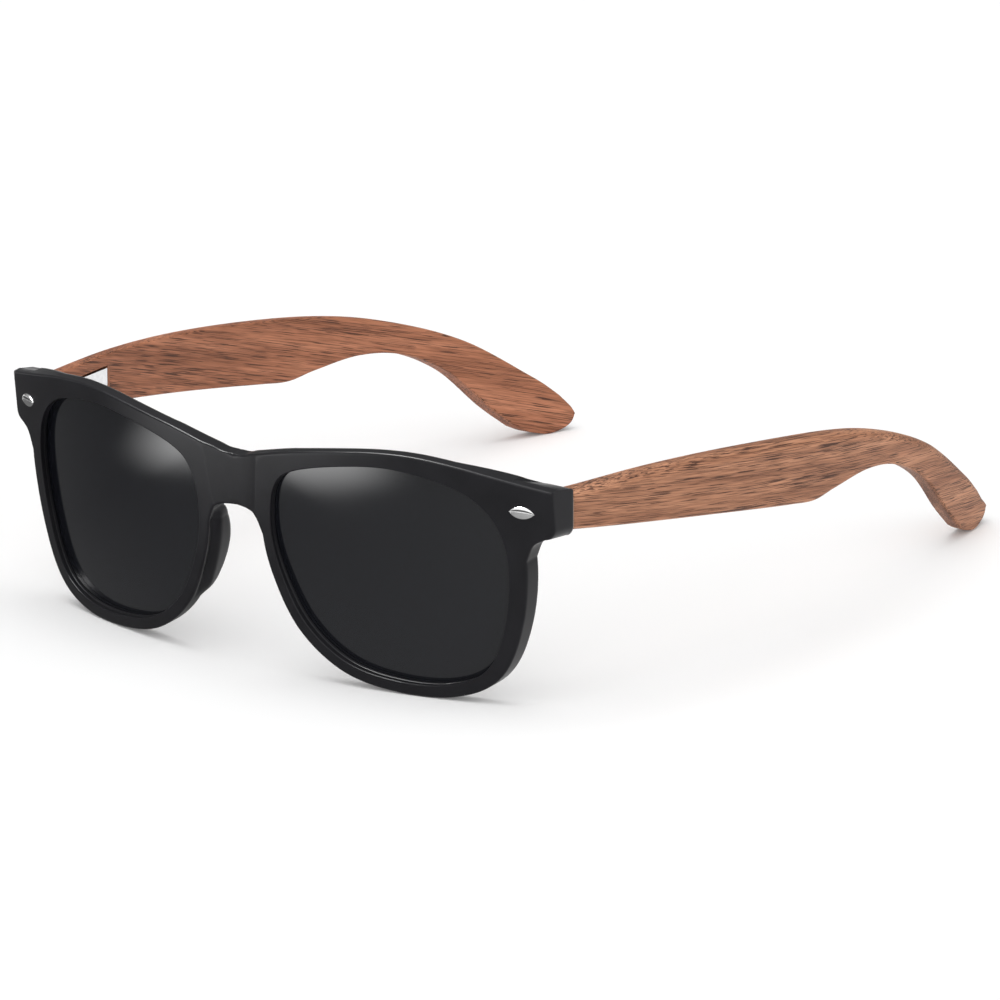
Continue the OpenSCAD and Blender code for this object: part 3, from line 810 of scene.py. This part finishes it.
def pocketCutter(name, radius, front, low, high, side):
    # an upright cutter, used once: a half round behind the hinge axis, carried on straight to the front
    turn = np.linspace(0, math.pi, 25)
    x = np.concatenate([radius * np.cos(turn), [-radius, radius]])
    y = np.concatenate([radius * np.sin(turn), [front, front]])
    share = np.array([0, 1, 1, 0])[:, None]
    z = np.array([low, low, high, high])[:, None] + 0 * x
    points = placeHinge(share * x, front / 2 + share * (y - front / 2), z, side)
    return newPiece(name, points, gridQuads(4, len(x), False, True), walnut["left"])


def cutAway(piece, cutters):
    # takes each cutter's volume out of the piece and removes the cutter
    for cutter in cutters:
        tool = piece.modifiers.new("cut", "BOOLEAN")
        tool.operation, tool.solver, tool.object = "DIFFERENCE", "EXACT", cutter
        done = bpy.data.meshes.new_from_object(piece.evaluated_get(bpy.context.evaluated_depsgraph_get()))
        piece.modifiers.clear()
        piece.data = done
        bpy.data.objects.remove(cutter)


def templePiece(name, side, wood):
    # a rounded-rectangle section carried from the hinge to the tip, bent to the temple's bow:
    # x = sqrt((bow radius - half thickness + thickness)^2 - (y - start of bow)^2) - bow radius + offset
    s = templeShape
    tipShare = 1 - 0.045 * np.linspace(1, 0, 26)[1:] ** 1.8
    share = np.concatenate([[0, 0.0012, 0.003], np.linspace(0.006, 0.955, 190), tipShare])
    above, below = templeEdges(share)
    high = np.linalg.norm(above - below, axis=1)
    up = (above - below) / np.maximum(high, 1e-9)[:, None]
    half = s["thick"] / 2
    turn = np.radians(np.linspace(0, 90, 7))[:, None]
    deep, tall = {}, {}
    for corner, (out, over, start) in cornerTurns.items():
        r = np.minimum(s["rounds"][corner], 0.48 * high)
        angle = turn + math.radians(start)
        deep[corner] = out * (half - r) + r * np.cos(angle)
        tall[corner] = over * (high / 2 - r) + r * np.sin(angle)
    # the inner and outer faces get rows of their own between the corners
    step = np.linspace(0, 1, 26)[1:-1, None]
    innerFace = tall["inTop"][-1] + step * (tall["inLow"][0] - tall["inTop"][-1])
    outerFace = tall["outLow"][-1] + step * (tall["outTop"][0] - tall["outLow"][-1])
    thick = np.vstack([deep["outTop"], deep["inTop"], 0 * innerFace - half,
                       deep["inLow"], deep["outLow"], 0 * outerFace + half])
    tall = np.vstack([tall["outTop"], tall["inTop"], innerFace, tall["inLow"], tall["outLow"], outerFace])
    # the front end is chamfered over its first half millimetre
    chamfer = np.interp(share * s["run"], [0, s["chamferLong"]], [s["chamferDeep"], 0])
    thick = thick * (1 - chamfer / half)
    tall = tall * (1 - 2 * chamfer / np.maximum(high, 1))
    middle = (above + below) / 2
    y = middle[:, 0] + tall * up[:, 0]
    z = middle[:, 1] + tall * up[:, 1]
    x = np.sqrt((s["bowRadius"] - half + thick) ** 2 - (y - s["bowFrom"]) ** 2) - s["bowRadius"] + s["out"]
    x, y, z = capEnds(x), capEnds(y), capEnds(z)
    points = placeHinge(x, y, z, side).reshape(-1, 3)
    piece = newPiece(name, points, gridQuads(*x.shape, True, False), wood, 40)
    grainMarks(piece.data, side)
    hingeZ, pocketHalf = hingePlace["z"], s["pocketHigh"] / 2
    cutAway(piece, [
        pocketCutter("pocket_cut", s["pocketRadius"], s["pocketFront"], hingeZ - pocketHalf, hingeZ + pocketHalf, side),
        boxCutter("recess_cut", (*s["recessFrom"], hingeZ + s["recessLow"]),
                  (s["recessDeep"], s["recessEnd"], hingeZ + s["recessTop"]), side),
    ])
    piece.data.set_sharp_from_angle(angle=math.radians(40))
    return piece


def grainMarks(mesh, side):
    # each vertex's place in the wood, in metres: along the grain, which slants down towards the tip, and across it
    # twice; the other attributes mark end grain, darkened partly for its oil and partly as painted shade, and the
    # chamfer of the cut end
    shape = templeShape
    slant = shape["slant"][side]
    co = vertexValues(mesh.vertices, "co", len(mesh.vertices)).astype(float) / mm
    c, s = math.cos(hingePlace["splay"]), math.sin(hingePlace["splay"])
    across, back = side * co[:, 0] - hingePlace["x"], co[:, 1] - hingePlace["y"]
    along, out = across * s + back * c, across * c - back * s
    fromBow, pastBow = out + shape["bowRadius"] - shape["out"], along - shape["bowFrom"]
    arc = shape["bowRadius"] * np.arctan2(pastBow, fromBow)
    depth = np.hypot(fromBow, pastBow) - shape["bowRadius"]
    high = co[:, 2]
    run = arc * math.cos(slant) + high * math.sin(slant)
    rise = high * math.cos(slant) - arc * math.sin(slant) + 100 * side  # the two temples show different wood
    grain = mesh.attributes.new("grain", "FLOAT_VECTOR", "POINT")
    grain.data.foreach_set("vector", (np.stack([run, rise, depth], -1) * mm).astype(np.float32).ravel())
    normals = vertexValues(mesh.vertex_normals, "vector", len(mesh.vertices)) * (side, 1, 1)
    bent = arc / shape["bowRadius"]
    way = np.stack([s * np.cos(bent) - c * np.sin(bent), c * np.cos(bent) + s * np.sin(bent)], -1) * math.cos(slant)
    endOn = np.abs((normals[:, :2] * way).sum(1) + normals[:, 2] * math.sin(slant))
    # end grain mask, which carries painted shade as well as the oil's darkening
    mark(mesh, "endGrainAndShade", smoothStep(endOn, 0.22, 0.75))
    mark(mesh, "cutEnd", shape["cutEndShare"] * (along < shape["front"] + shape["cutEndLong"]))


for name, side in sides.items():
    settle(templePiece(name + "_walnut_temple", side, walnut[name]), name + "_arm", "walnut", name + "_temple")
print("temples shaped")

springShape = {"x": 1.75, "from": 5.45, "to": 13.15, "radius": 0.825, "wire": 0.115, "turns": 13, "wireSides": 8}


def springPiece(name, side):
    # a round wire carried along a helix about the rod: (radius + wire * cos b) turned by a, and wire * sin b along
    s = springShape
    q = np.linspace(0, 1, 40 * s["turns"])
    a = 2 * math.pi * s["turns"] * q
    b = np.linspace(0, 2 * math.pi, s["wireSides"], endpoint=False)[:, None]
    r = s["radius"] + s["wire"] * np.cos(b)
    x = capEnds(s["x"] + r * np.cos(a))
    z = capEnds(hingePlace["z"] + r * np.sin(a))
    y = capEnds(s["from"] + s["wire"] + (s["to"] - s["from"] - 2 * s["wire"]) * q + s["wire"] * np.sin(b))
    points = placeHinge(x, y, z, side).reshape(-1, 3)
    return newPiece(name, points, gridQuads(*x.shape, True, False), metals["springSteel"], 60)


# the turned and milled pieces stay as they are in the CAD and get their metal
metalOf = {
    "front_hinge": "hingeSteel", "hinge_screw": "polishedSteel", "hinge_shank": "hingeSteel", "rod_nut": "bushBrass",
    "lock_bush": "bushBrass", "spring_housing": "polishedSteel",
}
for name, side in sides.items():
    for part, metal in metalOf.items():
        node = frame["nodes"][name + "_" + part]
        node.data.materials.clear()
        node.data.materials.append(metals[metal])
    spring = springPiece(name + "_coil_spring", side)
    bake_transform(spring)
    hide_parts(name + "_hinge_spring")
print("hinges dressed")

floorLook = {
    "outline": [(-6, -6), (6, -6), (6, 6), (-6, 6)], "height": 0,
    "colour": (0.95, 0.95, 0.95, 1), "roughness": 0.9, "whiten": 0.1,
}


def flatSheet(name, outline, height, material):
    # a flat sheet of one outline at a height, not attached to any body
    mesh = bpy.data.meshes.new(name)
    mesh.from_pydata([(x, y, height) for x, y in outline], [], [range(len(outline))])
    mesh.materials.append(material)
    sheet = bpy.data.objects.new(name, mesh)
    bpy.context.scene.collection.objects.link(sheet)
    return sheet


def paleFloor():
    # matt white, with a share of plain white where the camera, a gloss or a glass sees it
    material, tree, shader = newMaterial("paleFloor")
    shader.inputs["Base Color"].default_value = floorLook["colour"]
    shader.inputs["Roughness"].default_value = floorLook["roughness"]
    shader.inputs["Specular IOR Level"].default_value = 0.0
    white = add(tree, "ShaderNodeEmission", Strength=1.0)
    ray = add(tree, "ShaderNodeLightPath").outputs
    seen = calculate(tree, "MAXIMUM", ray["Is Camera Ray"], ray["Is Glossy Ray"])
    seen = calculate(tree, "MAXIMUM", seen, ray["Is Transmission Ray"])
    blend = add(tree, "ShaderNodeMixShader")
    feed(tree, blend.inputs["Fac"], calculate(tree, "MULTIPLY", seen, floorLook["whiten"]))
    feed(tree, blend.inputs[1], shader.outputs["BSDF"])
    feed(tree, blend.inputs[2], white.outputs["Emission"])
    feed(tree, tree.nodes["Material Output"].inputs["Surface"], blend.outputs["Shader"])
    return material


flatSheet("floor", floorLook["outline"], floorLook["height"], paleFloor())

# a studio reflector that lies before the front, seen only in gloss: dim, with one soft bright patch
reflectorLook = {
    "outline": [
        (-0.5, -0.6), (0.4, -0.6), (0.4, 0.08), (0.13, 0.08), (0.13, -0.066), (-0.01, -0.066), (-0.08, -0.02),
        (-0.5, -0.02),
    ],
    "height": 0.0004, "patch": (-0.0774, -0.2203), "patchTurn": math.radians(-27),
    "patchFull": (0.04, 0.038), "patchReach": (0.095, 0.078), "patchLight": 4.1,
    "dim": (0.16, 0.45), "dimAcross": (-0.1, 0.1),
}


def reflectorSheet():
    # light = dim(x) + patch * fade(|a|) * fade(|b|), with a and b the distances along and across the turned patch
    s = reflectorLook
    material, tree, _ = newMaterial("reflector")
    where = add(tree, "ShaderNodeTexCoord").outputs["Object"]
    offset = add(tree, "ShaderNodeVectorMath", operation="SUBTRACT")
    offset.inputs[1].default_value = (*s["patch"], s["height"])
    turned = add(tree, "ShaderNodeMapping", Rotation=(0, 0, -s["patchTurn"]))
    apart = add(tree, "ShaderNodeVectorMath", operation="ABSOLUTE")
    ways = add(tree, "ShaderNodeSeparateXYZ")
    feed(tree, offset.inputs[0], where)
    feed(tree, turned.inputs["Vector"], offset.outputs["Vector"])
    feed(tree, apart.inputs[0], turned.outputs["Vector"])
    feed(tree, ways.inputs["Vector"], apart.outputs["Vector"])
    fades = [
        fromTo(tree, ways.outputs[way], 1, 0, full, end, "SMOOTHSTEP")
        for way, full, end in zip("XY", s["patchFull"], s["patchReach"])
    ]
    split = add(tree, "ShaderNodeSeparateXYZ")
    feed(tree, split.inputs["Vector"], where)
    dim = fromTo(tree, split.outputs["X"], *s["dim"], *s["dimAcross"])
    light = add(tree, "ShaderNodeEmission")
    patch = calculate(tree, "MULTIPLY", *fades)
    feed(tree, light.inputs["Strength"], calculate(tree, "MULTIPLY_ADD", patch, s["patchLight"], dim))
    feed(tree, tree.nodes["Material Output"].inputs["Surface"], light.outputs["Emission"])
    sheet = flatSheet("reflector", s["outline"], s["height"], material)
    sheet.visible_camera = sheet.visible_diffuse = sheet.visible_shadow = sheet.visible_transmission = False


reflectorSheet()

lampLook = {
    "overhead": {"at": (-0.2, -0.3, 2.2), "size": 1.8, "energy": 18.4, "glossOnly": False},
    "edgeStrip": {"at": (-0.25, -0.4, 0.95), "size": 0.5, "energy": 22.0, "glossOnly": True},
}
for name, look in lampLook.items():
    lampData = bpy.data.lights.new(name, "AREA")
    lampData.shape, lampData.size, lampData.energy = "SQUARE", look["size"], look["energy"]
    lamp = bpy.data.objects.new(name, lampData)
    lamp.location = look["at"]
    lamp.rotation_euler = lamp.location.to_track_quat("Z", "Y").to_euler()
    lamp.visible_diffuse = not look["glossOnly"]
    bpy.context.scene.collection.objects.link(lamp)

# the room: a large soft light high on the camera's side, falling off to a dim back
skyLook = {
    "toward": (0.55, -0.65, 0.53),
    "stops": [(0.1, (0.1, 0.1, 0.1)), (0.55, (0.5, 0.5, 0.5)), (0.95, (1.35, 1.35, 1.35))],
}
world = bpy.data.worlds.new("studio")
bpy.context.scene.world = world
world.use_nodes = True
sky = world.node_tree
facing = add(sky, "ShaderNodeVectorMath", operation="DOT_PRODUCT")
facing.inputs[1].default_value = skyLook["toward"]
feed(sky, facing.inputs[0], add(sky, "ShaderNodeTexCoord").outputs["Generated"])
shade = fromTo(sky, facing.outputs["Value"], 0, 1, -1, 1)
feed(sky, sky.nodes["Background"].inputs["Color"], ramp(sky, shade, skyLook["stops"]))

# the focal length is in widths of the sensor
cameraFit = {
    "azimuth": math.radians(38.55), "elevation": math.radians(16.67), "aim": (0.06604, -0.08463, 0.0472),
    "distance": 2.799, "focal": 14.163, "sensor": 36,
}
level = math.cos(cameraFit["elevation"])
toward = Vector((
    math.sin(cameraFit["azimuth"]) * level, -math.cos(cameraFit["azimuth"]) * level, math.sin(cameraFit["elevation"]),
))
cameraData = bpy.data.cameras.new("camera")
cameraData.sensor_width = cameraFit["sensor"]
cameraData.sensor_fit = "HORIZONTAL"
cameraData.lens = cameraFit["sensor"] * cameraFit["focal"]
cameraData.clip_end = 50
camera = bpy.data.objects.new("camera", cameraData)
camera.location = Vector(cameraFit["aim"]) + cameraFit["distance"] * toward
camera.rotation_euler = toward.to_track_quat("Z", "Y").to_euler()
bpy.context.scene.collection.objects.link(camera)
bpy.context.scene.camera = camera
bpy.context.scene.view_settings.view_transform = "Standard"
print("stage set")
